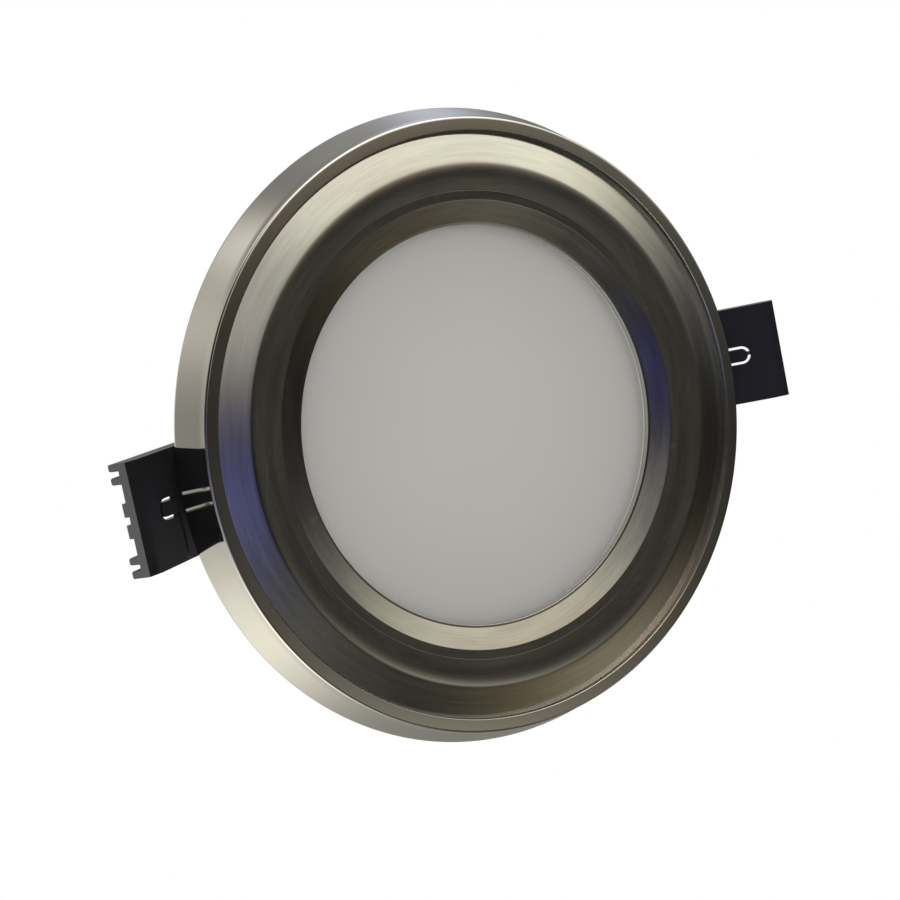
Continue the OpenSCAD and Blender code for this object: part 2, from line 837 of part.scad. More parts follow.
// Least gap between turns that lie at least half a turn apart
spring_gap = min([
    for (i = [0 : coil_rings], j = [0 : coil_rings])
        if (j - i >= curl_rings / 2)
            norm(spring_path[i + 1][0] - spring_path[j + 1][0]) - wire_d
]);
echo(spring_gap = spring_gap);

module clip_spring(side) {
    rings = len(spring_path);
    points = [for (i = [0 : rings - 1]) each ring_points(i)];
    walls = [
        for (i = [0 : rings - 2], k = [0 : tube_sides - 1])
            let (
                a = i * tube_sides + k,
                b = i * tube_sides + (k + 1) % tube_sides
            )
            each [[a, b, b + tube_sides], [a, b + tube_sides, a + tube_sides]]
    ];
    first = [for (k = [1 : tube_sides - 2]) [0, k + 1, k]];
    base = (rings - 1) * tube_sides;
    last = [for (k = [1 : tube_sides - 2]) [base, base + k, base + k + 1]];
    color("silver")
        on_side(side)
            at_hinge()
                polyhedron(points = points, faces = concat(walls, first, last));
}

module clip_bracket_left() { clip_bracket(-1); }
module clip_bracket_right() { clip_bracket(1); }
module bracket_screws_left() { bracket_screws(-1); }
module bracket_screws_right() { bracket_screws(1); }
module hinge_pin_left() { hinge_pin(-1); }
module hinge_pin_right() { hinge_pin(1); }
module clip_spring_left() { clip_spring(-1); }
module clip_spring_right() { clip_spring(1); }
module clip_arm_left() { clip_arm(-1); }
module clip_arm_right() { clip_arm(1); }

bezel();
soffit_gasket();
diffuser_gasket();
diffuser();
reflector();
led_board();
led_chips();
board_terminal();
thermal_pad();
board_screws();
lead_positive();
lead_negative();
heat_sink();
body_seal();
body_screws();
gland_washer();
cable_gland();
gland_seal();
gland_nut();
clip_bracket_left();
clip_bracket_right();
bracket_screws_left();
bracket_screws_right();
hinge_pin_left();
hinge_pin_right();
clip_spring_left();
clip_spring_right();
clip_arm_left();
clip_arm_right();
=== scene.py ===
import math

import bmesh
import bpy
from mathutils import Matrix, Vector


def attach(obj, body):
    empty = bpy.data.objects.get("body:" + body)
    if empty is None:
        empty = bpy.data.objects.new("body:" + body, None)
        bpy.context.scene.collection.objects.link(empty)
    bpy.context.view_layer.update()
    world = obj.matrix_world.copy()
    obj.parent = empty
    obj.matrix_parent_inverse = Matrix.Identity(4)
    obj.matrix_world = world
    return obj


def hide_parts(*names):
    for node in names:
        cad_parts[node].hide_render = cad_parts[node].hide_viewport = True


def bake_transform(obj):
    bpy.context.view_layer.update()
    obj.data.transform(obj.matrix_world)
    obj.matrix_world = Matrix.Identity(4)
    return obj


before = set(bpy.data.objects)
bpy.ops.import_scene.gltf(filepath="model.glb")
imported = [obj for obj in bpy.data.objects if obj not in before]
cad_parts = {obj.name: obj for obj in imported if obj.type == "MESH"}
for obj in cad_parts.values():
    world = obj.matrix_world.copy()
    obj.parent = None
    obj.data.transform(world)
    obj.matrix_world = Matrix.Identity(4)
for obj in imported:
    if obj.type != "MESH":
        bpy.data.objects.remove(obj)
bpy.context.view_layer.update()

MM = 0.001

# Sizes in millimetres, as in the part's source
FLANGE_R = 55.0
RIM_R = 52.4
RIM_Z = -7.0
BAND_R = 50.2
STEP_Z = -6.1
STEP_SLOPE = 0.15
CREST_R = 44.7
CREST_Z = -6.75
SWELL_POWER = 1.4
LAND_OUT_R = 40.2
LAND_IN_R = 38.6
LAND_Z = -5.1
LIP_R = 34.9
LIGHT_R = 34.5
LIP_Z = -3.7
LEDGE_Z = -2.5
POCKET_R = 36.6
LENS_R = 36.4
LENS_Z = -1.9
CHAMBER_Z = 0.1
CUP_WALL = 0.9
CUP_TOP_R = 29.1
CUP_FOOT_H = 1.5
CUP_GAP = 0.4
HUB_R = 40.5
HUB_H = 5.0
TRIM_BACK_Z = -3.5
GASKET_OUT_R = 51.4
GASKET_IN_R = 46.8
GASKET_Z = -2.0
FOOT_Z = 7.5
EAR_R = 3.2
BODY_SCREW_R = 41.0
SINK_R = 36.5
SINK_IN_R = 34.0
PAD_X = 36.2
PAD_IN_X = 28.0
PAD_Y = 10.45
BOARD_Z = 12.0
BOARD_SCREW_R = 25.3
PLATE_Z = 14.0
FIN_Z = 17.0
FIN_TOP_Z = 36.0
FIN_START_R = 10.5
FIN_T = 1.5
FIN_COUNT = 20
FIN_CHAMFER = 4.0
CORE_R = 9.0
CORE_Z = 20.0
CORE_HOLE_R = 4.05
CHIP_RINGS = ((13.0, 8), (21.0, 14))
CHIP_H = 0.7
CHIP_FACE_R = 1.0
CHIP_REACH = 2.6
TRACK_PITCH = 8.0
SCREW_REACH = 4.0
CLIP_ANGLE = math.radians(37.5)
PIVOT_R = 41.8
PIVOT_Z = 13.15385
PIN_R = 1.0
PIN_HALF = 10.45
PIN_HEAD_R = 1.7
PIN_HEAD_T = 0.7
PLATE_BACK = -0.7
ARM_LEN = 30.2
RIB_START = 5.5
RIB_EDGE_OFF = 1.35
PLATE_EDGE_OFF = 1.3
WIRE_R = 0.4
COIL_R = 1.8
COIL_W = 5.4
COIL_TURNS = 4
LONG_LEG = 27.0
LONG_V = 0.35
SHORT_LEG = (-4.15, 2.84615)

# Camera: focal length in pixels of the photograph, place in metres, and turn round an axis
PHOTO_PIXELS = 900
FOCAL_PIXELS = 1720.9
SENSOR_WIDTH = 36.0
CAMERA_PLACE = (-0.14648, -0.03154, -0.25972)
CAMERA_AXIS = (0.0635, -0.5064, -0.2276)
CAMERA_ANGLE = 0.55884

# Studio, in metres
FLOOR_Z = -0.6
FLOOR_HALF = 4.0


# Making and finishing pieces


def new_object(name, mesh):
    piece = bpy.data.objects.new(name, mesh)
    bpy.context.scene.collection.objects.link(piece)
    return piece


def outline_object(name, points):
    """A line through points (radius, height) in mm, drawn in the XZ plane for the lathe."""
    mesh = bpy.data.meshes.new(name)
    rows = [(r * MM, 0.0, z * MM) for r, z in points]
    mesh.from_pydata(rows, [(i, i + 1) for i in range(len(rows) - 1)], [])
    return new_object(name, mesh)


def made_plain(piece):
    """Turns what the piece's modifiers make into its own mesh, and drops the modifiers."""
    depsgraph = bpy.context.evaluated_depsgraph_get()
    mesh = bpy.data.meshes.new_from_object(piece.evaluated_get(depsgraph))
    mesh.name = piece.name
    piece.modifiers.clear()
    piece.data = mesh
    return piece


def with_tree(piece, tree, **values):
    """Runs a geometry tree on the piece, with values for its named inputs."""
    modifier = piece.modifiers.new(tree.name, "NODES")
    modifier.node_group = tree
    for item in tree.interface.items_tree:
        if item.item_type == "SOCKET" and item.in_out == "INPUT" and item.name in values:
            modifier[item.identifier] = values[item.name]
    return made_plain(piece)


def tidy_surface(piece, limit=35.0, painted_edge_shade=True, weighted=True):
    """Merges doubles, turns the faces outwards, and keeps only real edges sharp."""
    work = bmesh.new()
    work.from_mesh(piece.data)
    bmesh.ops.remove_doubles(work, verts=work.verts, dist=1e-6)
    bmesh.ops.dissolve_degenerate(work, edges=work.edges, dist=1e-7)
    if painted_edge_shade:
        bmesh.ops.recalc_face_normals(work, faces=work.faces)
    for face in work.faces:
        face.smooth = True
    for edge in work.edges:
        edge.smooth = len(edge.link_faces) == 2 and edge.calc_face_angle() < math.radians(limit)
    work.to_mesh(piece.data)
    work.free()
    if weighted:
        modifier = piece.modifiers.new("weighted", "WEIGHTED_NORMAL")
        modifier.keep_sharp = True
        made_plain(piece)
    return piece


def mesh_from(name, work):
    """The mesh of a bmesh that is done."""
    mesh = bpy.data.meshes.new(name)
    work.to_mesh(mesh)
    work.free()
    return mesh


def round_edges(work, edges, size):
    """Cuts edges back by size in mm and curves them."""
    bmesh.ops.bevel(
        work, geom=edges, offset=size * MM, segments=3, profile=0.5, affect="EDGES", clamp_overlap=True
    )


def placed(piece, matrix):
    piece.data.transform(matrix)
    return piece


def joined(name, pieces):
    """One piece from several closed shapes."""
    work = bmesh.new()
    for piece in pieces:
        work.from_mesh(piece.data)
    mesh = mesh_from(name, work)
    for material in pieces[0].data.materials:
        mesh.materials.append(material)
    for piece in pieces:
        bpy.data.objects.remove(piece)
    return new_object(name, mesh)


def settle(piece, body, slot, *nodes):
    """The piece rides on a body and stands for nodes of the frame, which it hides; slot is not used."""
    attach(piece, body)
    if nodes:
        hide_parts(*nodes)
    return piece


def paint(piece, *materials):
    piece.data.materials.clear()
    for material in materials:
        piece.data.materials.append(material)
    return piece


def rounded(corners, steps=5):
    """An outline through corners (r, z, size), each corner cut back by size and curved."""
    points = []
    last = len(corners) - 1
    for i, (r, z, size) in enumerate(corners):
        if size == 0 or i in (0, last):
            points.append((r, z))
            continue
        here = Vector((r, z))
        before = Vector(corners[i - 1][:2]) - here
        after = Vector(corners[i + 1][:2]) - here
        start = here + before.normalized() * min(size, before.length * 0.49)
        end = here + after.normalized() * min(size, after.length * 0.49)
        for k in range(steps + 1):
            t = k / steps
            point = start * (1 - t) ** 2 + here * 2 * t * (1 - t) + end * t * t
            points.append((point.x, point.y))
    return points


def softened(name, node, passes, pick=None):
    """A merged copy of a frame node with rounded edges: passes of (size in mm, test of an edge)."""
    work = bmesh.new()
    work.from_mesh(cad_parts[node].data)
    if pick:
        drop = [f for f in work.faces if not pick(f.calc_center_median())]
        bmesh.ops.delete(work, geom=drop, context="FACES")
    bmesh.ops.remove_doubles(work, verts=work.verts, dist=2e-6)
    bmesh.ops.dissolve_limit(work, angle_limit=math.radians(0.6), verts=work.verts, edges=work.edges)
    for size, test in passes:
        chosen = []
        for edge in work.edges:
            if len(edge.link_faces) != 2 or edge.calc_face_angle() < math.radians(28):
                continue
            if test is None or test(edge):
                chosen.append(edge)
        round_edges(work, chosen, size)
    return new_object(name, mesh_from(name, work))


# Geometry trees, each with named inputs


def tree_with(name, inputs):
    tree = bpy.data.node_groups.new(name, "GeometryNodeTree")
    tree.interface.new_socket(name="Geometry", in_out="INPUT", socket_type="NodeSocketGeometry")
    for label, kind, value in inputs:
        socket = tree.interface.new_socket(name=label, in_out="INPUT", socket_type=kind)
        if value is not None:
            socket.default_value = value
    tree.interface.new_socket(name="Geometry", in_out="OUTPUT", socket_type="NodeSocketGeometry")
    return tree, tree.nodes.new("NodeGroupInput"), tree.nodes.new("NodeGroupOutput")


def math_node(tree, operation, first, second=None, third=None):
    node = tree.nodes.new("ShaderNodeMath")
    node.operation = operation
    for slot, value in enumerate((first, second, third)):
        if value is None:
            continue
        if isinstance(value, (int, float)):
            node.inputs[slot].default_value = value
        else:
            tree.links.new(value, node.inputs[slot])
    return node.outputs[0]


def finished(tree, given, out, geometry):
    """Ends a geometry tree: real geometry in the given finish."""
    realize = tree.nodes.new("GeometryNodeRealizeInstances")
    tree.links.new(geometry, realize.inputs[0])
    finish = tree.nodes.new("GeometryNodeSetMaterial")
    tree.links.new(realize.outputs[0], finish.inputs["Geometry"])
    tree.links.new(given.outputs["Finish"], finish.inputs["Material"])
    tree.links.new(finish.outputs[0], out.inputs[0])
    return tree


def lathe_tree():
    """Turns the piece's outline round the Z axis: U runs along the outline and V round the axis."""
    tree, given, out = tree_with(
        "lathe", [("Segments", "NodeSocketInt", 128), ("Finish", "NodeSocketMaterial", None)]
    )
    link = tree.links.new
    size = tree.nodes.new("GeometryNodeAttributeDomainSize")
    link(given.outputs["Geometry"], size.inputs["Geometry"])
    count = size.outputs["Point Count"]
    segments = given.outputs["Segments"]
    grid = tree.nodes.new("GeometryNodeMeshGrid")
    link(math_node(tree, "ADD", segments, 1), grid.inputs["Vertices X"])
    link(count, grid.inputs["Vertices Y"])
    index = tree.nodes.new("GeometryNodeInputIndex").outputs[0]
    along = math_node(tree, "MODULO", index, count)
    round_step = math_node(tree, "FLOOR", math_node(tree, "DIVIDE", index, count))
    turn = math_node(tree, "DIVIDE", round_step, segments)
    angle = math_node(tree, "MULTIPLY", turn, 2 * math.pi)
    where = tree.nodes.new("GeometryNodeInputPosition")
    sample = tree.nodes.new("GeometryNodeSampleIndex")
    sample.data_type = "FLOAT_VECTOR"
    link(given.outputs["Geometry"], sample.inputs["Geometry"])
    link(where.outputs[0], sample.inputs["Value"])
    link(along, sample.inputs["Index"])
    split = tree.nodes.new("ShaderNodeSeparateXYZ")
    link(sample.outputs[0], split.inputs[0])
    join = tree.nodes.new("ShaderNodeCombineXYZ")
    reach = split.outputs["X"]
    link(math_node(tree, "MULTIPLY", reach, math_node(tree, "COSINE", angle)), join.inputs["X"])
    link(math_node(tree, "MULTIPLY", reach, math_node(tree, "SINE", angle)), join.inputs["Y"])
    link(split.outputs["Z"], join.inputs["Z"])
    move = tree.nodes.new("GeometryNodeSetPosition")
    link(grid.outputs["Mesh"], move.inputs["Geometry"])
    link(join.outputs[0], move.inputs["Position"])
    chart = tree.nodes.new("ShaderNodeCombineXYZ")
    link(math_node(tree, "DIVIDE", along, count), chart.inputs["X"])
    link(turn, chart.inputs["Y"])
    store = tree.nodes.new("GeometryNodeStoreNamedAttribute")
    store.data_type = "FLOAT2"
    store.domain = "CORNER"
    store.inputs["Name"].default_value = "turned"
    link(move.outputs[0], store.inputs["Geometry"])
    link(chart.outputs[0], store.inputs["Value"])
    merge = tree.nodes.new("GeometryNodeMergeByDistance")
    merge.inputs["Distance"].default_value = 1e-6
    link(store.outputs[0], merge.inputs["Geometry"])
    return finished(tree, given, out, merge.outputs[0])


def ring_tree():
    """Copies the piece's shape round the Z axis."""
    tree, given, out = tree_with(
        "ring_of_copies",
        [
            ("Count", "NodeSocketInt", 4),
            ("Radius", "NodeSocketFloat", 0.04),
            ("First Angle", "NodeSocketFloat", 0.0),
            ("Finish", "NodeSocketMaterial", None),
        ],
    )
    link = tree.links.new
    points = tree.nodes.new("GeometryNodePoints")
    link(given.outputs["Count"], points.inputs["Count"])
    index = tree.nodes.new("GeometryNodeInputIndex").outputs[0]
    turn = math_node(tree, "DIVIDE", index, given.outputs["Count"])
    angle = math_node(tree, "MULTIPLY_ADD", turn, 2 * math.pi, given.outputs["First Angle"])
    spot = tree.nodes.new("ShaderNodeCombineXYZ")
    radius = given.outputs["Radius"]
    link(math_node(tree, "MULTIPLY", radius, math_node(tree, "COSINE", angle)), spot.inputs["X"])
    link(math_node(tree, "MULTIPLY", radius, math_node(tree, "SINE", angle)), spot.inputs["Y"])
    link(spot.outputs[0], points.inputs["Position"])
    facing = tree.nodes.new("ShaderNodeCombineXYZ")
    link(angle, facing.inputs["Z"])
    copies = tree.nodes.new("GeometryNodeInstanceOnPoints")
    link(points.outputs[0], copies.inputs["Points"])
    link(given.outputs["Geometry"], copies.inputs["Instance"])
    link(facing.outputs[0], copies.inputs["Rotation"])
    return finished(tree, given, out, copies.outputs[0])


def wire_tree():
    """Draws a round wire along the piece's line."""
    tree, given, out = tree_with(
        "wire",
        [
            ("Wire Radius", "NodeSocketFloat", 0.0004),
            ("Sides", "NodeSocketInt", 16),
            ("Finish", "NodeSocketMaterial", None),
        ],
    )
    link = tree.links.new
    curve = tree.nodes.new("GeometryNodeMeshToCurve")
    link(given.outputs["Geometry"], curve.inputs[0])
    section = tree.nodes.new("GeometryNodeCurvePrimitiveCircle")
    link(given.outputs["Sides"], section.inputs["Resolution"])
    link(given.outputs["Wire Radius"], section.inputs["Radius"])
    sweep = tree.nodes.new("GeometryNodeCurveToMesh")
    sweep.inputs["Fill Caps"].default_value = True
    link(curve.outputs[0], sweep.inputs["Curve"])
    link(section.outputs[0], sweep.inputs["Profile Curve"])
    return finished(tree, given, out, sweep.outputs[0])


# Shader groups that several finishes share


def shader_group(name, inputs, outputs):
    group = bpy.data.node_groups.new(name, "ShaderNodeTree")
    for label, value in inputs:
        socket = group.interface.new_socket(name=label, in_out="INPUT", socket_type="NodeSocketFloat")
        socket.default_value = value
    for label in outputs:
        group.interface.new_socket(name=label, in_out="OUTPUT", socket_type="NodeSocketFloat")
    return group, group.nodes.new("NodeGroupInput"), group.nodes.new("NodeGroupOutput")


def noise(tree, vector, scale, detail=2.0, rough=0.5):
    node = tree.nodes.new("ShaderNodeTexNoise")
    node.inputs["Detail"].default_value = detail
    node.inputs["Roughness"].default_value = rough
    if isinstance(scale, (int, float)):
        node.inputs["Scale"].default_value = scale
    else:
        tree.links.new(scale, node.inputs["Scale"])
    tree.links.new(vector, node.inputs["Vector"])
    return node.outputs[0]


def surface_place(tree):
    """X, Y and Z of the surface in the piece's own coordinates, in metres."""
    spot = tree.nodes.new("ShaderNodeTexCoord").outputs["Object"]
    split = tree.nodes.new("ShaderNodeSeparateXYZ")
    tree.links.new(spot, split.inputs[0])
    return split.outputs


def from_axis(tree, x, y):
    """Distance from the Z axis, in metres."""
    x_square = math_node(tree, "MULTIPLY", x, x)
    y_square = math_node(tree, "MULTIPLY", y, y)
    return math_node(tree, "SQRT", math_node(tree, "ADD", x_square, y_square))


def turned_group():
    """Fine lines round the Z axis, as a lathe or a brush on a turning part leaves them."""
    group, given, out = shader_group(
        "turned_lines", [("Lines per Metre", 4000.0), ("Streak", 3.0)], ["Lines", "Bands"]
    )
    link = group.links.new
    x, y, z = surface_place(group)
    radius = from_axis(group, x, y)
    across = math_node(group, "ADD", radius, math_node(group, "MULTIPLY", z, 0.7))
    unit_x = math_node(group, "DIVIDE", x, radius)
    unit_y = math_node(group, "DIVIDE", y, radius)
    outputs = []
    for share, streak in ((1.0, 1.0), (0.12, 0.6)):
        lines = group.nodes.new("ShaderNodeCombineXYZ")
        pitch = math_node(group, "MULTIPLY", given.outputs["Lines per Metre"], share)
        reach = math_node(group, "MULTIPLY", given.outputs["Streak"], streak)
        link(math_node(group, "MULTIPLY", across, pitch), lines.inputs["X"])
        link(math_node(group, "MULTIPLY", unit_x, reach), lines.inputs["Y"])
        link(math_node(group, "MULTIPLY", unit_y, reach), lines.inputs["Z"])
        outputs.append(noise(group, lines.outputs[0], 1.0, 3.0, 0.6))
    link(outputs[0], out.inputs["Lines"])
    link(outputs[1], out.inputs["Bands"])
    return group


def grain_group():
    """Fine grain and broad smudges over a surface."""
    group, given, out = shader_group(
        "grain", [("Grain Scale", 3000.0), ("Smudge Scale", 60.0)], ["Grain", "Smudge"]
    )
    spot = group.nodes.new("ShaderNodeTexCoord").outputs["Object"]
    group.links.new(noise(group, spot, given.outputs["Grain Scale"], 3.0, 0.6), out.inputs["Grain"])
    group.links.new(noise(group, spot, given.outputs["Smudge Scale"], 4.0, 0.55), out.inputs["Smudge"])
    return group


def edge_group():
    """Where an outer edge has been rubbed: 1 on the edge, broken up by a noise."""
    group, given, out = shader_group("rubbed_edges", [("Reach", 0.53), ("Break Up", 900.0)], ["Mask"])
    spot = group.nodes.new("ShaderNodeTexCoord").outputs["Object"]
    edge = group.nodes.new("ShaderNodeNewGeometry").outputs["Pointiness"]
    broken = math_node(group, "MULTIPLY", noise(group, spot, given.outputs["Break Up"]), 0.06)
    level = math_node(group, "SUBTRACT", math_node(group, "ADD", edge, broken), given.outputs["Reach"])
    mask = math_node(group, "MULTIPLY", level, 18.0)
    limited = group.nodes.new("ShaderNodeClamp")
    group.links.new(mask, limited.inputs[0])
    group.links.new(limited.outputs[0], out.inputs["Mask"])
    return group


GROUPS = {"turned": turned_group(), "grain": grain_group(), "edges": edge_group()}


class Finish:
    """A material under construction: its tree, its Principled shader and short calls to build on it."""

    def __init__(self, name, base, metallic=0.0, roughness=0.5, **plain):
        self.material = bpy.data.materials.new(name)
        self.material.use_nodes = True
        self.tree = self.material.node_tree
        self.shader = self.tree.nodes["Principled BSDF"]
        self.base = base
        self.set("Base Color", (*base, 1.0))
        self.set("Metallic", metallic)
        self.set("Roughness", roughness)
        for label, value in plain.items():
            self.set(label.replace("_", " "), value)

    def set(self, label, value):
        self.shader.inputs[label].default_value = value

    def feed(self, label, output):
        self.tree.links.new(output, self.shader.inputs[label])

    def group(self, name, **values):
        node = self.tree.nodes.new("ShaderNodeGroup")
        node.node_tree = GROUPS[name]
        for label, value in values.items():
            node.inputs[label.replace("_", " ")].default_value = value
        return node.outputs

    def ranged(self, value, low, high, source_low=0.3, source_high=0.7):
        node = self.tree.nodes.new("ShaderNodeMapRange")
        node.inputs["From Min"].default_value = source_low
        node.inputs["From Max"].default_value = source_high
        node.inputs["To Min"].default_value = low
        node.inputs["To Max"].default_value = high
        self.tree.links.new(value, node.inputs["Value"])
        return node.outputs[0]

    def mixed(self, mask, first, second):
        node = self.tree.nodes.new("ShaderNodeMix")
        node.data_type = "RGBA"
        self.tree.links.new(mask, node.inputs["Factor"])
        for socket, value in ((node.inputs[6], first), (node.inputs[7], second)):
            if isinstance(value, tuple):
                socket.default_value = (*value, 1.0)
            else:
                self.tree.links.new(value, socket)
        return node.outputs[2]

    def toned(self, mask, low, high):
        """The base colour, darker to lighter with a mask."""
        dark = tuple(c * low for c in self.base)
        light = tuple(min(1.0, c * high) for c in self.base)
        return self.mixed(mask, dark, light)

    def bump(self, height, distance, strength=1.0):
        node = self.tree.nodes.new("ShaderNodeBump")
        node.inputs["Strength"].default_value = strength
        node.inputs["Distance"].default_value = distance
        self.tree.links.new(height, node.inputs["Height"])
        self.feed("Normal", node.outputs[0])

    def heights(self, low, high, softness=0.0001):
        """1 where the surface lies between two heights."""
        z = surface_place(self.tree)["Z"]
        rise = self.ranged(z, 0.0, 1.0, low - softness, low)
        fall = self.ranged(z, 1.0, 0.0, high, high + softness)
        return math_node(self.tree, "MULTIPLY", rise, fall)


def polished_trim():
    finish = Finish("trim_polished", (0.74, 0.725, 0.69), 1.0, 0.08)
    lines = finish.group("turned", Lines_per_Metre=2500.0, Streak=2.0)
    grain = finish.group("grain", Grain_Scale=2500.0, Smudge_Scale=45.0)
    band = finish.heights((RIM_Z - 0.02) * MM, (RIM_Z + 0.1) * MM)
    rough = math_node(finish.tree, "MULTIPLY_ADD", band, 0.07, finish.ranged(grain["Smudge"], 0.05, 0.1))
    finish.feed("Roughness", rough)
    finish.feed("Base Color", finish.toned(finish.ranged(grain["Smudge"], 0.0, 1.0), 0.94, 1.03))
    finish.bump(lines["Bands"], 1e-6, 0.3)
    return finish.material


def dish_lean(tree):
    """Height over the dish, in metres, that leans its reflections outwards from the axis."""
    x, y = surface_place(tree)[:2]
    place = tree.nodes.new("ShaderNodeMapRange")
    place.inputs["From Min"].default_value = LAND_OUT_R * MM
    place.inputs["From Max"].default_value = BAND_R * MM
    place.inputs["To Min"].default_value = -1.0
    place.inputs["To Max"].default_value = 1.0
    tree.links.new(from_axis(tree, x, y), place.inputs["Value"])
    across = place.outputs[0]
    half_width = (BAND_R - LAND_OUT_R) / 2 * MM
    curve = math_node(tree, "MULTIPLY_ADD", math_node(tree, "MULTIPLY", across, across), 0.02, 0.22)
    curve = math_node(tree, "ADD", curve, math_node(tree, "MULTIPLY", across, -0.065))
    return math_node(tree, "MULTIPLY", math_node(tree, "MULTIPLY", across, curve), -half_width)


def brushed_trim():
    finish = Finish("trim_brushed", (0.73, 0.715, 0.68), 1.0, 0.16, Anisotropic=0.5)
    lines = finish.group("turned", Lines_per_Metre=6000.0, Streak=5.0)
    fine_share = math_node(finish.tree, "MULTIPLY", lines["Lines"], 0.4)
    tone = math_node(finish.tree, "MULTIPLY_ADD", lines["Bands"], 0.6, fine_share)
    finish.feed("Roughness", finish.ranged(tone, 0.11, 0.2))
    finish.feed("Base Color", finish.toned(finish.ranged(tone, 0.0, 1.0), 0.80, 1.10))
    fine = math_node(finish.tree, "ADD", lines["Lines"], lines["Bands"])
    finish.bump(math_node(finish.tree, "MULTIPLY_ADD", fine, 2.5e-6, dish_lean(finish.tree)), 1.0)
    tangent = finish.tree.nodes.new("ShaderNodeTangent")
    tangent.direction_type = "UV_MAP"
    tangent.uv_map = "turned"
    finish.feed("Tangent", tangent.outputs[0])
    return finish.material


def cast_metal(name, base, roughness):
    finish = Finish(name, base, 1.0, roughness)
    grain = finish.group("grain", Grain_Scale=1800.0, Smudge_Scale=90.0)
    edges = finish.group("edges", Reach=0.55)
    finish.feed("Roughness", finish.ranged(grain["Smudge"], roughness - 0.06, roughness + 0.08))
    tone = finish.toned(finish.ranged(grain["Smudge"], 0.0, 1.0), 0.86, 1.04)
    finish.feed("Base Color", finish.mixed(edges["Mask"], tone, tuple(min(1.0, c * 1.2) for c in base)))
    finish.bump(grain["Grain"], 1.5e-5, 0.6)
    return finish.material


def turned_groove():
    """The narrow step between the rim and the dish, turned but not polished, its dark base colour painted
    shade.
    """
    finish = Finish("trim_groove", (0.30, 0.29, 0.27), 1.0, 0.35)
    lines = finish.group("turned", Lines_per_Metre=6000.0, Streak=5.0)
    shade = finish.ranged(lines["Lines"], 0.0, 1.0)
    finish.feed("Roughness", finish.ranged(lines["Lines"], 0.32, 0.42))
    finish.feed("Base Color", finish.toned(shade, 0.85, 1.1))
    finish.bump(lines["Lines"], 1e-6, 0.3)
    return finish.material


def plated_steel(name, base, roughness):
    finish = Finish(name, base, 1.0, roughness)
    grain = finish.group("grain", Grain_Scale=4000.0, Smudge_Scale=150.0)
    edges = finish.group("edges", Reach=0.54)
    finish.feed("Roughness", finish.ranged(grain["Smudge"], roughness - 0.05, roughness + 0.08))
    tone = finish.toned(finish.ranged(grain["Grain"], 0.0, 1.0), 0.93, 1.03)
    finish.feed("Base Color", finish.mixed(edges["Mask"], tone, tuple(min(1.0, c * 1.12) for c in base)))
    finish.bump(grain["Grain"], 3e-6, 0.4)
    return finish.material


def moulded(name, base, roughness, grain_scale=3500.0, depth=4e-6, **plain):
    finish = Finish(name, base, 0.0, roughness, **plain)
    grain = finish.group("grain", Grain_Scale=grain_scale, Smudge_Scale=120.0)
    finish.feed("Roughness", finish.ranged(grain["Smudge"], roughness - 0.04, roughness + 0.06))
    finish.feed("Base Color", finish.toned(finish.ranged(grain["Smudge"], 0.0, 1.0), 0.94, 1.04))
    finish.bump(grain["Grain"], depth, 0.5)
    return finish.material


def foam(name, base):
    finish = Finish(name, base, 0.0, 0.9)
    spot = finish.tree.nodes.new("ShaderNodeTexCoord").outputs["Object"]
    cells = finish.tree.nodes.new("ShaderNodeTexVoronoi")
    cells.inputs["Scale"].default_value = 2600.0
    finish.tree.links.new(spot, cells.inputs["Vector"])
    shade = finish.ranged(cells.outputs["Distance"], 0.0, 1.0, 0.1, 0.6)
    finish.feed("Base Color", finish.toned(shade, 0.55, 1.15))
    finish.bump(cells.outputs["Distance"], 6e-5, 0.8)
    return finish.material


def board_finish():
    """White solder mask with two rings of track showing faintly under it."""
    finish = Finish("light_board", (0.86, 0.86, 0.83), 0.0, 0.32)
    x, y = surface_place(finish.tree)[:2]
    radius = from_axis(finish.tree, x, y)
    phase = math_node(finish.tree, "MULTIPLY", radius, 2 * math.pi / (TRACK_PITCH * MM))
    wave = math_node(finish.tree, "SINE", phase)
    track = finish.ranged(wave, 0.0, 1.0, 0.55, 0.65)
    finish.feed("Base Color", finish.mixed(track, finish.base, (0.74, 0.76, 0.70)))
    finish.bump(track, 2e-5, 0.5)
    return finish.material


def opal():
    """White acrylic, with painted light and shade in its colour: paler in the middle and darker towards the
    edge.
    """
    finish = Finish("opal_diffuser", (0.54, 0.53, 0.505), 0.0, 0.34)
    grain = finish.group("grain", Grain_Scale=2200.0, Smudge_Scale=25.0)
    x, y = surface_place(finish.tree)[:2]
    share = math_node(finish.tree, "DIVIDE", from_axis(finish.tree, x, y), LIGHT_R * MM)
    painted_edge_shade = math_node(finish.tree, "POWER", share, 2.4)
    tone = finish.toned(finish.ranged(grain["Smudge"], 0.0, 1.0), 0.985, 1.01)
    # Painted shade: the base colour fades darker towards the edge, leaving the middle paler as painted light
    finish.feed("Base Color", finish.mixed(painted_edge_shade, tone, (0.455, 0.445, 0.425)))
    finish.feed("Roughness", finish.ranged(grain["Smudge"], 0.3, 0.38))
    finish.bump(grain["Grain"], 2e-6, 0.3)
    return finish.material


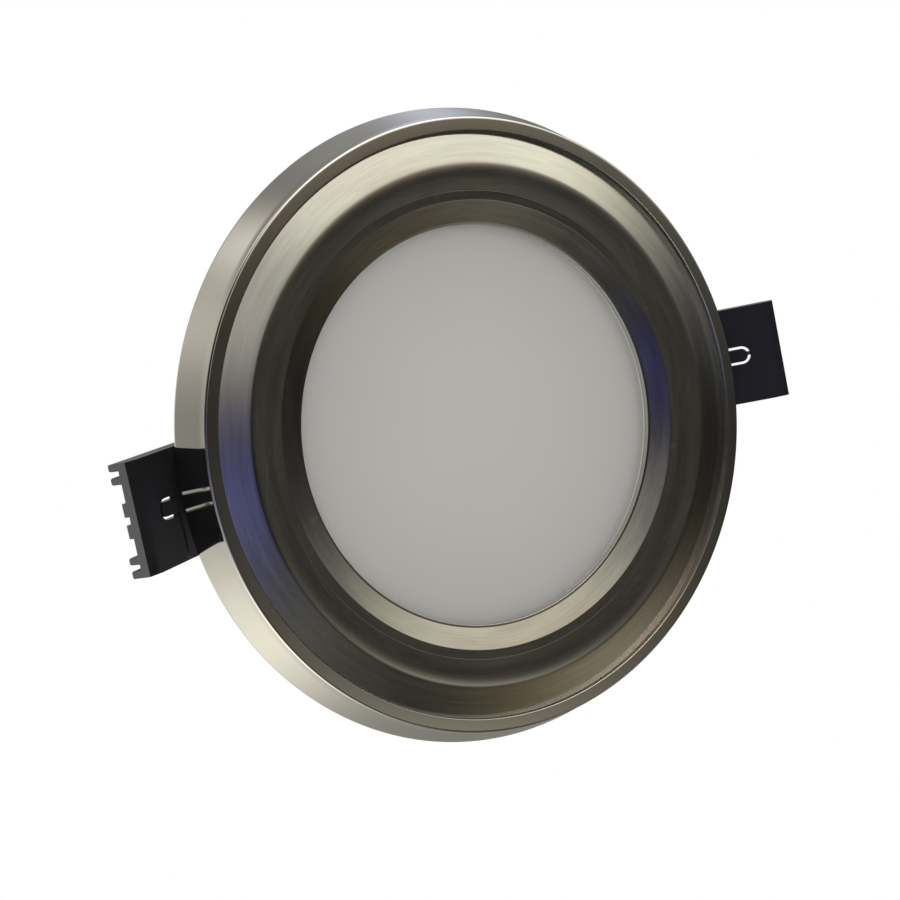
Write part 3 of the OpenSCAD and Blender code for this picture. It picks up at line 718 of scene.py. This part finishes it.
FINISH = {
    "polished": polished_trim(),
    "brushed": brushed_trim(),
    "cast_trim": cast_metal("trim_back", (0.55, 0.54, 0.52), 0.42),
    # The step's finish paints shade into its colour
    "groove": turned_groove(),
    "opal": opal(),
    "foam": foam("gasket_foam", (0.085, 0.085, 0.085)),
    "silicone": moulded("gasket_silicone", (0.80, 0.81, 0.81), 0.35),
    "white": moulded("reflector_white", (0.86, 0.86, 0.85), 0.42),
    "board": board_finish(),
    "chip_frame": moulded("chip_frame", (0.84, 0.84, 0.80), 0.3),
    "phosphor": moulded("chip_phosphor", (0.86, 0.66, 0.16), 0.28, 6000.0),
    "pad": moulded("thermal_silicone", (0.40, 0.47, 0.55), 0.7, 2500.0, 1e-5),
    "zinc": plated_steel("screw_zinc", (0.72, 0.72, 0.73), 0.26),
    "red": moulded("lead_red", (0.52, 0.025, 0.02), 0.3),
    "black": moulded("lead_black", (0.02, 0.02, 0.02), 0.3),
    "cast": cast_metal("heat_sink_cast", (0.60, 0.61, 0.62), 0.40),
    "rubber": moulded("seal_rubber", (0.035, 0.035, 0.035), 0.62, 2500.0, 8e-6),
    "nylon": moulded("gland_nylon", (0.045, 0.045, 0.048), 0.42),
    "pressed": plated_steel("bracket_zinc", (0.68, 0.69, 0.70), 0.30),
    "pin": plated_steel("pin_steel", (0.74, 0.75, 0.76), 0.16),
    "wire": plated_steel("spring_wire", (0.60, 0.60, 0.61), 0.24),
    "clip_face": moulded(
        "clip_glossy", (0.012, 0.012, 0.014), 0.2, 2500.0, 2e-6, Specular_IOR_Level=0.3
    ),
    # Painted sheen: the matte sides, ribs and tip of the black nylon clip have a lighter base colour than
    # the glossy face
    "clip_sheen_edge": moulded("clip_matte_painted_sheen", (0.10, 0.10, 0.105), 0.5, 3500.0, 8e-6),
}

LATHE = lathe_tree()
RING = ring_tree()
WIRE = wire_tree()


def turned_piece(name, corners, finish, segments=160, limit=35.0):
    piece = outline_object(name, rounded(corners))
    with_tree(piece, LATHE, Segments=segments, Finish=FINISH[finish])
    return tidy_surface(piece, limit)


def ringed(piece, count, radius, first_angle, finish):
    return with_tree(
        piece, RING, Count=count, Radius=radius * MM, **{"First Angle": first_angle}, Finish=FINISH[finish]
    )


# Camera, at the photograph's viewing angle

camera_data = bpy.data.cameras.new("photo_camera")
camera_data.sensor_width = SENSOR_WIDTH
camera_data.lens = FOCAL_PIXELS / PHOTO_PIXELS * SENSOR_WIDTH
camera_data.clip_start = 0.01
camera = bpy.data.objects.new("photo_camera", camera_data)
bpy.context.scene.collection.objects.link(camera)
right, down, forward = Matrix.Rotation(CAMERA_ANGLE, 3, Vector(CAMERA_AXIS).normalized())
camera.matrix_world = Matrix.Translation(Vector(CAMERA_PLACE)) @ Matrix(
    (
        (right.x, -down.x, -forward.x, 0.0),
        (right.y, -down.y, -forward.y, 0.0),
        (right.z, -down.z, -forward.z, 0.0),
        (0.0, 0.0, 0.0, 1.0),
    )
)
bpy.context.scene.camera = camera


# Trim


def swell_height(r):
    """Height of the brushed dish at a radius, as in the part's source."""
    if r > CREST_R:
        return CREST_Z + (STEP_Z - CREST_Z) * ((r - CREST_R) / (BAND_R - CREST_R)) ** SWELL_POWER
    return CREST_Z + (LAND_Z - CREST_Z) * ((CREST_R - r) / (CREST_R - LAND_OUT_R)) ** SWELL_POWER


def trim_outline():
    wall_steps = 10
    wall_low = (RIM_R, RIM_Z + 0.35)
    corners = [(FLANGE_R - 0.5, 0.0, 0), (FLANGE_R, 0.0, 0.15), (FLANGE_R, -0.4, 0.1)]
    for k in range(1, wall_steps):
        t = k / wall_steps
        corners.append((FLANGE_R + (wall_low[0] - FLANGE_R) * t, -0.4 + (wall_low[1] + 0.4) * t, 0))
    corners += [
        (RIM_R - 0.02, RIM_Z + 0.02, 0.4),
        (BAND_R, RIM_Z, 0.1),
        (BAND_R - STEP_SLOPE, STEP_Z, 0.08),
    ]
    steps = 44
    start_r = BAND_R - STEP_SLOPE - 0.1
    for k in range(steps):
        r = start_r - k * (start_r - LAND_OUT_R) / steps
        corners.append((r, swell_height(r), 0))
    corners += [
        (LAND_OUT_R, LAND_Z, 0.08),
        (LAND_IN_R, LAND_Z + 0.1, 0.08),
        (LIP_R, LIP_Z, 0.05),
        (LIGHT_R, LIP_Z + 0.05, 0.06),
        (LIGHT_R, LEDGE_Z, 0),
        (POCKET_R, LEDGE_Z, 0),
        (POCKET_R, HUB_H, 0.15),
        (HUB_R, HUB_H, 0.2),
        (HUB_R, TRIM_BACK_Z, 0.5),
        (GASKET_IN_R - 0.4, TRIM_BACK_Z, 0.3),
        (GASKET_IN_R - 0.4, GASKET_Z, 0),
        (GASKET_OUT_R, GASKET_Z, 0),
        (GASKET_OUT_R, 0.0, 0.1),
        (FLANGE_R - 0.5, 0.0, 0),
    ]
    return corners


def trim_finish(centre):
    """Index of the finish at a place on the trim: polished, brushed, cast, or the step's finish with painted
    shade.
    """
    r = math.hypot(centre.x, centre.y) / MM
    z = centre.z / MM
    # The step's faces take the finish whose dark colour is painted shade
    if BAND_R - STEP_SLOPE - 0.02 < r < BAND_R and RIM_Z + 0.12 < z < STEP_Z + 0.05:
        return 3
    if r > BAND_R - 0.02 and z < -0.1 and (r > GASKET_OUT_R + 0.1 or z < GASKET_Z - 0.1):
        return 0
    if z < TRIM_BACK_Z - 0.05 and r > LIP_R:
        return 1
    if z < LEDGE_Z - 0.05 and r < LIP_R + 0.01:
        return 0
    return 2


def ear(z_low, z_high, finish):
    """A round ear for a body screw, from the hub out."""
    return turned_piece(
        "ear", [(0, z_low, 0), (EAR_R, z_low, 0), (EAR_R, z_high, 0.25), (0, z_high, 0)], finish, 40
    )


def build_trim():
    turned = turned_piece("trim_turned", trim_outline(), "polished", 360, 30.0)
    ears = ringed(ear(TRIM_BACK_Z - 0.3, HUB_H, "cast_trim"), 4, BODY_SCREW_R, math.pi / 4, "cast_trim")
    piece = joined("trim", [turned, ears])
    paint(piece, FINISH["polished"], FINISH["brushed"], FINISH["cast_trim"], FINISH["groove"])
    for face in piece.data.polygons:
        face.material_index = trim_finish(face.center)
    settle(piece, "light", "trim_metal", "bezel")


build_trim()

# Diffuser, gaskets and reflector

diffuser = turned_piece(
    "opal_disc",
    [(0, LENS_Z, 0), (20, LENS_Z, 0), (LENS_R, LENS_Z, 0.3), (LENS_R, CHAMBER_Z, 0.1), (0, CHAMBER_Z, 0)],
    "opal",
    180,
)
settle(diffuser, "light", "opal_acrylic", "diffuser")

foam_ring = turned_piece(
    "soffit_foam",
    [
        (GASKET_IN_R + 1, GASKET_Z, 0),
        (GASKET_OUT_R - 0.1, GASKET_Z, 0.1),
        (GASKET_OUT_R - 0.1, 0, 0.3),
        (GASKET_IN_R, 0, 0.3),
        (GASKET_IN_R, GASKET_Z, 0.1),
        (GASKET_IN_R + 1, GASKET_Z, 0),
    ],
    "foam",
    180,
)
settle(foam_ring, "light", "foam_rubber", "soffit_gasket")

reflector = turned_piece(
    "white_reflector",
    [
        (LENS_R - 0.5, CHAMBER_Z, 0),
        (LENS_R, CHAMBER_Z, 0.05),
        (LENS_R, HUB_H, 0.15),
        (LENS_R - CUP_WALL, HUB_H, 0.15),
        (LENS_R - CUP_WALL, CHAMBER_Z + CUP_FOOT_H, 0.2),
        (CUP_TOP_R, BOARD_Z - CUP_GAP, 0.2),
        (CUP_TOP_R - CUP_WALL, BOARD_Z - CUP_GAP, 0.2),
        (LIGHT_R - 0.1, CHAMBER_Z, 0.05),
        (LENS_R - 0.5, CHAMBER_Z, 0),
    ],
    "white",
)
settle(reflector, "light", "white_plastic", "reflector")

# Screws: one of each kind is taken from the frame, rounded and copied round the axis


def ring_of_screws(name, node, radius, count, first_angle, body):
    spot = Vector((math.cos(first_angle), math.sin(first_angle), 0.0)) * radius * MM
    reach = SCREW_REACH * MM
    screw = softened(name, node, [(0.07, None)], lambda c: (c.xy - spot.xy).length < reach)
    placed(screw, Matrix.Rotation(-first_angle, 4, "Z") @ Matrix.Translation(-spot))
    tidy_surface(screw)
    ringed(screw, count, radius, first_angle, "zinc")
    return settle(screw, body, "zinc_steel", node)


ring_of_screws("foot_screws", "body_screws", BODY_SCREW_R, 4, math.pi / 4, "light")
ring_of_screws("light_board_screws", "board_screws", BOARD_SCREW_R, 3, math.pi / 6, "light")

for side in ("left", "right"):
    node = "bracket_screws_" + side
    screws = softened("bracket_fixings_" + side, node, [(0.06, None)])
    tidy_surface(screws)
    paint(screws, FINISH["zinc"])
    settle(screws, "light", "zinc_steel", node)

# Chips: a white frame with a yellow face, in two rings


def chip_ring(radius, count, number):
    first = math.pi / count
    spot = Vector((math.cos(first), math.sin(first), 0.0)) * radius * MM
    reach = CHIP_REACH * MM
    frame_piece = softened(
        f"chip_frames_{number}", "led_chips", [(0.08, None)], lambda c: (c.xy - spot.xy).length < reach
    )
    placed(frame_piece, Matrix.Rotation(-first, 4, "Z") @ Matrix.Translation(-spot))
    tidy_surface(frame_piece)
    ringed(frame_piece, count, radius, first, "chip_frame")
    settle(frame_piece, "light", "chip_phosphor", "led_chips")
    low = BOARD_Z - CHIP_H
    face = turned_piece(
        f"chip_faces_{number}",
        [
            (0, low + 0.02, 0),
            (0.6, low + 0.03, 0),
            (CHIP_FACE_R, low + 0.08, 0),
            (CHIP_FACE_R, low + 0.2, 0),
            (0, low + 0.2, 0),
        ],
        "phosphor",
        20,
    )
    ringed(face, count, radius, first, "phosphor")
    settle(face, "light", "chip_phosphor", "led_chips")


for number, (ring_radius, chips) in enumerate(CHIP_RINGS, 1):
    chip_ring(ring_radius, chips, number)

# Heat sink: a turned body with pads for the clip brackets, ears and a ring of fins


def box_shape(name, low, high, edge):
    work = bmesh.new()
    bmesh.ops.create_cube(work, size=1.0)
    size = Vector(high) - Vector(low)
    middle = (Vector(high) + Vector(low)) / 2
    stretch = Matrix.Translation(middle * MM) @ Matrix.Diagonal((*(size * MM), 1.0))
    bmesh.ops.transform(work, matrix=stretch, verts=work.verts)
    round_edges(work, work.edges[:], edge)
    return new_object(name, mesh_from(name, work))


def sink_body():
    body = turned_piece(
        "sink_turned",
        [
            (SINK_IN_R, PLATE_Z, 0),
            (SINK_IN_R, HUB_H, 0.1),
            (HUB_R, HUB_H, 0.1),
            (HUB_R, FOOT_Z, 0.4),
            (SINK_R, FOOT_Z, 0.5),
            (SINK_R, FIN_Z, 0.4),
            (CORE_R, FIN_Z, 0.8),
            (CORE_R, CORE_Z, 0.4),
            (CORE_HOLE_R, CORE_Z, 0),
            (CORE_HOLE_R, PLATE_Z, 0),
            (SINK_IN_R, PLATE_Z, 0),
        ],
        "cast",
        240,
    )
    limit = PAD_X * MM
    for vertex in body.data.vertices:
        on_pad = abs(vertex.co.y) < (PAD_Y + 0.3) * MM and FOOT_Z - 0.1 < vertex.co.z / MM < FIN_Z + 0.01
        if on_pad and abs(vertex.co.x) > limit:
            vertex.co.x = math.copysign(limit, vertex.co.x)
    ears = ringed(ear(HUB_H, FOOT_Z, "cast"), 4, BODY_SCREW_R, math.pi / 4, "cast")
    pads = []
    for x_low, x_high in ((-PAD_X, -PAD_IN_X), (PAD_IN_X, PAD_X)):
        low = (x_low, -PAD_Y, FOOT_Z - 0.4)
        pads.append(tidy_surface(box_shape("pad", low, (x_high, PAD_Y, FIN_Z - 0.03), 0.3)))
    piece = joined("heat_sink_body", [body, ears, *pads])
    paint(piece, FINISH["cast"])
    return settle(piece, "light", "cast_aluminium", "heat_sink")


def fin_shape():
    """One fin, drawn from the middle outwards along X."""
    outline = [
        (FIN_START_R, FIN_Z - 0.4),
        (SINK_R, FIN_Z - 0.4),
        (SINK_R, FIN_TOP_Z - FIN_CHAMFER),
        (SINK_R - FIN_CHAMFER, FIN_TOP_Z),
        (FIN_START_R, FIN_TOP_Z),
    ]
    work = bmesh.new()
    sides = []
    for y in (-FIN_T / 2, FIN_T / 2):
        sides.append([work.verts.new((x * MM, y * MM, z * MM)) for x, z in outline])
    work.faces.new(sides[0])
    work.faces.new(sides[1][::-1])
    for k in range(len(outline)):
        n = (k + 1) % len(outline)
        work.faces.new((sides[0][n], sides[0][k], sides[1][k], sides[1][n]))
    bmesh.ops.recalc_face_normals(work, faces=work.faces)
    round_edges(work, work.edges[:], 0.35)
    return new_object("cooling_fins", mesh_from("fin", work))


sink_body()
fins = tidy_surface(fin_shape())
ringed(fins, FIN_COUNT, 0.0, math.pi / FIN_COUNT, "cast")
settle(fins, "light", "cast_aluminium", "heat_sink")

# Gland: the frame's shapes with rounded edges

for name, node, edge in (
    ("gland_body", "cable_gland", 0.2),
    ("gland_cap", "gland_nut", 0.2),
    ("wire_terminal", "board_terminal", 0.15),
):
    piece = tidy_surface(softened(name, node, [(edge, None)]))
    paint(piece, FINISH["white" if name == "wire_terminal" else "nylon"])
    settle(piece, "light", "white_plastic" if name == "wire_terminal" else "gland_nylon", node)

# Clips: bracket, pin, spring and arm on each side


def clip_local(point, sign):
    """A place on a resting clip, in mm: along the arm from the hinge, along the hinge, and off the plate."""
    x = point.x * sign / MM - PIVOT_R
    z = point.z / MM - PIVOT_Z
    along = x * math.cos(CLIP_ANGLE) - z * math.sin(CLIP_ANGLE)
    off = x * math.sin(CLIP_ANGLE) + z * math.cos(CLIP_ANGLE)
    return Vector((along, point.y * sign / MM, off))


def build_arm(side, sign):
    node = "clip_arm_" + side

    def on_rib(edge):
        middle = clip_local((edge.verts[0].co + edge.verts[1].co) / 2, sign)
        return middle.z > PLATE_BACK + RIB_EDGE_OFF and middle.x > RIB_START

    def elsewhere(edge):
        ends = [clip_local(v.co, sign) for v in edge.verts]
        return all(end.z < PLATE_BACK + PLATE_EDGE_OFF for end in ends)

    arm = softened("sprung_clip_" + side, node, [(0.36, on_rib), (0.1, elsewhere)])
    tidy_surface(arm)
    paint(arm, FINISH["clip_face"], FINISH["clip_sheen_edge"])
    for face in arm.data.polygons:
        place = clip_local(face.center, sign)
        at_tip = place.x > ARM_LEN - 0.35
        # Tip, sides and ribs take the matte finish with its painted sheen
        face.material_index = 1 if at_tip or place.z > PLATE_BACK + 0.12 else 0
    settle(arm, "clip_" + side, "black_nylon", node)


def build_pin(side, sign):
    head_z = PIN_HALF
    pin = turned_piece(
        "pivot_pin_" + side,
        [
            (0, -head_z - PIN_HEAD_T, 0),
            (PIN_HEAD_R, -head_z - PIN_HEAD_T, 0.35),
            (PIN_HEAD_R, -head_z, 0.1),
            (PIN_R, -head_z, 0),
            (PIN_R, head_z, 0),
            (PIN_HEAD_R, head_z, 0.1),
            (PIN_HEAD_R, head_z + PIN_HEAD_T, 0.35),
            (0, head_z + PIN_HEAD_T, 0),
        ],
        "pin",
        40,
    )
    move = Matrix.Translation(Vector((sign * PIVOT_R, 0, PIVOT_Z)) * MM)
    placed(pin, move @ Matrix.Rotation(math.pi / 2, 4, "X"))
    settle(pin, "light", "pin_steel", "hinge_pin_" + side)


def spring_points():
    """The spring's middle line round the hinge, in mm: long leg, four turns and short leg."""
    cos_a, sin_a = math.cos(CLIP_ANGLE), math.sin(CLIP_ANGLE)
    long_end = Vector((LONG_LEG * cos_a + LONG_V * sin_a, -LONG_LEG * sin_a + LONG_V * cos_a))
    short_end = Vector(SHORT_LEG)
    start = math.atan2(long_end.y, long_end.x) + math.acos(COIL_R / long_end.length)
    stop = math.atan2(short_end.y, short_end.x) - math.acos(COIL_R / short_end.length)
    wound = stop - start + 2 * math.pi * COIL_TURNS
    points = []
    first = Vector((COIL_R * math.cos(start), COIL_R * math.sin(start)))
    for k in range(24):
        spot = long_end.lerp(first, k / 24)
        points.append((spot.x, 0.0, spot.y))
    rings = 28 * COIL_TURNS
    for k in range(rings + 1):
        t = k / rings
        a = start + wound * t
        points.append((COIL_R * math.cos(a), -COIL_W * t, COIL_R * math.sin(a)))
    last = Vector((COIL_R * math.cos(start + wound), COIL_R * math.sin(start + wound)))
    for k in range(1, 5):
        spot = last.lerp(short_end, k / 4)
        points.append((spot.x, -COIL_W, spot.y))
    return points


def build_spring(side, sign):
    mesh = bpy.data.meshes.new("torsion_spring_" + side)
    rows = [(sign * (x + PIVOT_R) * MM, sign * y * MM, (z + PIVOT_Z) * MM) for x, y, z in spring_points()]
    mesh.from_pydata(rows, [(i, i + 1) for i in range(len(rows) - 1)], [])
    spring = new_object("torsion_spring_" + side, mesh)
    with_tree(spring, WIRE, **{"Wire Radius": WIRE_R * MM}, Sides=14, Finish=FINISH["wire"])
    tidy_surface(spring, 50.0)
    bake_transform(spring)
    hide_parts("clip_spring_" + side)


for side, sign in (("left", -1), ("right", 1)):
    build_arm(side, sign)
    build_pin(side, sign)
    build_spring(side, sign)
    bracket = tidy_surface(softened("hinge_bracket_" + side, "clip_bracket_" + side, [(0.12, None)]))
    paint(bracket, FINISH["pressed"])
    settle(bracket, "light", "pressed_steel", "clip_bracket_" + side)

# Frame nodes that keep their own shape

for node, finish in (
    ("diffuser_gasket", "silicone"),
    ("led_board", "board"),
    ("thermal_pad", "pad"),
    ("lead_positive", "red"),
    ("lead_negative", "black"),
    ("body_seal", "rubber"),
    ("gland_washer", "rubber"),
    ("gland_seal", "rubber"),
):
    paint(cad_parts[node], FINISH[finish])


# Studio


def floor_finish():
    """Pale card. Metal looks past it to the studio."""
    material = bpy.data.materials.new("pale_floor")
    material.use_nodes = True
    tree = material.node_tree
    card = tree.nodes["Principled BSDF"]
    card.inputs["Base Color"].default_value = (0.86, 0.86, 0.85, 1.0)
    card.inputs["Roughness"].default_value = 0.9
    clear = tree.nodes.new("ShaderNodeBsdfTransparent")
    ray = tree.nodes.new("ShaderNodeLightPath")
    mix = tree.nodes.new("ShaderNodeMixShader")
    tree.links.new(ray.outputs["Is Glossy Ray"], mix.inputs["Fac"])
    tree.links.new(card.outputs[0], mix.inputs[1])
    tree.links.new(clear.outputs[0], mix.inputs[2])
    tree.links.new(mix.outputs[0], tree.nodes["Material Output"].inputs["Surface"])
    return material


floor_mesh = bpy.data.meshes.new("floor")
floor_corners = [(x * FLOOR_HALF, y * FLOOR_HALF, FLOOR_Z) for x, y in ((-1, -1), (1, -1), (1, 1), (-1, 1))]
floor_mesh.from_pydata(floor_corners, [], [(0, 1, 2, 3)])
floor = new_object("floor", floor_mesh)
floor_mesh.materials.append(floor_finish())


# What the metal reflects, as soft zones round the object: direction, tightness and colour
ZONES = [
    ((0.51, -0.85, -0.14), 8.0, (2.1, 2.1, 2.05)),
    ((-0.3, 0.1, 0.95), 3.5, (0.88, 0.86, 0.78)),
    ((-0.69, -0.59, 0.43), 30.0, (0.40, 0.37, 0.33)),
    ((0.40, 0.36, -0.84), 70.0, (0.32, 0.30, 0.24)),
    ((0.64, 0.72, -0.28), 55.0, (0.46, 0.43, 0.34)),
    ((-0.65, 0.76, -0.07), 8.0, (1.8, 1.75, 1.55)),
    ((-0.48, 0.20, -0.85), 55.0, (0.33, 0.36, 0.64)),
    ((0.42, -0.27, -0.87), 55.0, (0.32, 0.25, 0.17)),
    ((0.03, -0.79, -0.61), 22.0, (2.15, 1.8, 1.45)),
    ((-0.37, -0.88, 0.28), 55.0, (1.72, 1.64, 1.47)),
    ((0.47, -0.50, 0.73), 55.0, (0.45, 0.48, 0.6)),
    ((-0.16, -0.30, -0.94), 55.0, (0.45, 0.43, 0.40)),
    ((0.70, -0.24, -0.67), 40.0, (0.20, 0.20, 0.17)),
    ((0.17, -0.49, -0.86), 40.0, (0.42, 0.46, 0.41)),
    ((0.50, -0.52, -0.69), 40.0, (0.40, 0.40, 0.29)),
    ((0.76, -0.38, -0.52), 40.0, (0.56, 0.53, 0.37)),
    ((0.48, 0.68, -0.55), 40.0, (0.12, 0.10, 0.06)),
    ((0.73, 0.55, -0.42), 40.0, (0.06, 0.05, 0.03)),
    ((-0.20, 0.12, -0.97), 55.0, (0.04, 0.04, 0.14)),
    ((-0.08, 0.46, -0.88), 55.0, (0.06, 0.06, 0.05)),
    ((-0.51, 0.70, 0.50), 20.0, (0.33, 0.30, 0.25)),
]
AMBIENT = (0.003, 0.003, 0.0035)

# How the plain soft light on everything else changes from -Y to +Y
SOFT_SLOPE = -0.2


def build_world():
    world = bpy.data.worlds.new("studio")
    world.use_nodes = True
    world.cycles.sampling_method = "NONE"
    bpy.context.scene.world = world
    tree = world.node_tree
    tree.nodes.clear()
    link = tree.links.new
    toward = tree.nodes.new("ShaderNodeTexCoord").outputs["Generated"]
    total = None
    for direction, tightness, colour in ZONES:
        facing = tree.nodes.new("ShaderNodeVectorMath")
        facing.operation = "DOT_PRODUCT"
        facing.inputs[1].default_value = Vector(direction).normalized()
        link(toward, facing.inputs[0])
        away = math_node(tree, "SUBTRACT", facing.outputs["Value"], 1.0)
        amount = math_node(tree, "EXPONENT", math_node(tree, "MULTIPLY", away, tightness))
        tint = tree.nodes.new("ShaderNodeVectorMath")
        tint.operation = "SCALE"
        tint.inputs[0].default_value = colour
        link(amount, tint.inputs["Scale"])
        add = tree.nodes.new("ShaderNodeVectorMath")
        add.operation = "ADD"
        add.inputs[1].default_value = AMBIENT
        if total is not None:
            link(total, add.inputs[1])
        link(tint.outputs[0], add.inputs[0])
        total = add.outputs[0]
    zones = tree.nodes.new("ShaderNodeBackground")
    link(total, zones.inputs["Color"])
    height = tree.nodes.new("ShaderNodeSeparateXYZ")
    link(toward, height.inputs[0])
    soft = tree.nodes.new("ShaderNodeBackground")
    soft.inputs["Color"].default_value = (1.0, 1.0, 1.0, 1.0)
    link(math_node(tree, "MULTIPLY_ADD", height.outputs["Y"], SOFT_SLOPE, 1.0), soft.inputs["Strength"])
    white = tree.nodes.new("ShaderNodeBackground")
    white.inputs["Color"].default_value = (1.0, 1.0, 1.0, 1.0)
    ray = tree.nodes.new("ShaderNodeLightPath")
    shine = tree.nodes.new("ShaderNodeMixShader")
    link(ray.outputs["Is Glossy Ray"], shine.inputs["Fac"])
    link(soft.outputs[0], shine.inputs[1])
    link(zones.outputs[0], shine.inputs[2])
    mix = tree.nodes.new("ShaderNodeMixShader")
    seen = math_node(tree, "MAXIMUM", ray.outputs["Is Camera Ray"], ray.outputs["Is Transmission Ray"])
    link(seen, mix.inputs["Fac"])
    link(shine.outputs[0], mix.inputs[1])
    link(white.outputs[0], mix.inputs[2])
    output = tree.nodes.new("ShaderNodeOutputWorld")
    link(mix.outputs[0], output.inputs["Surface"])


build_world()
bpy.context.scene.view_settings.view_transform = "Standard"
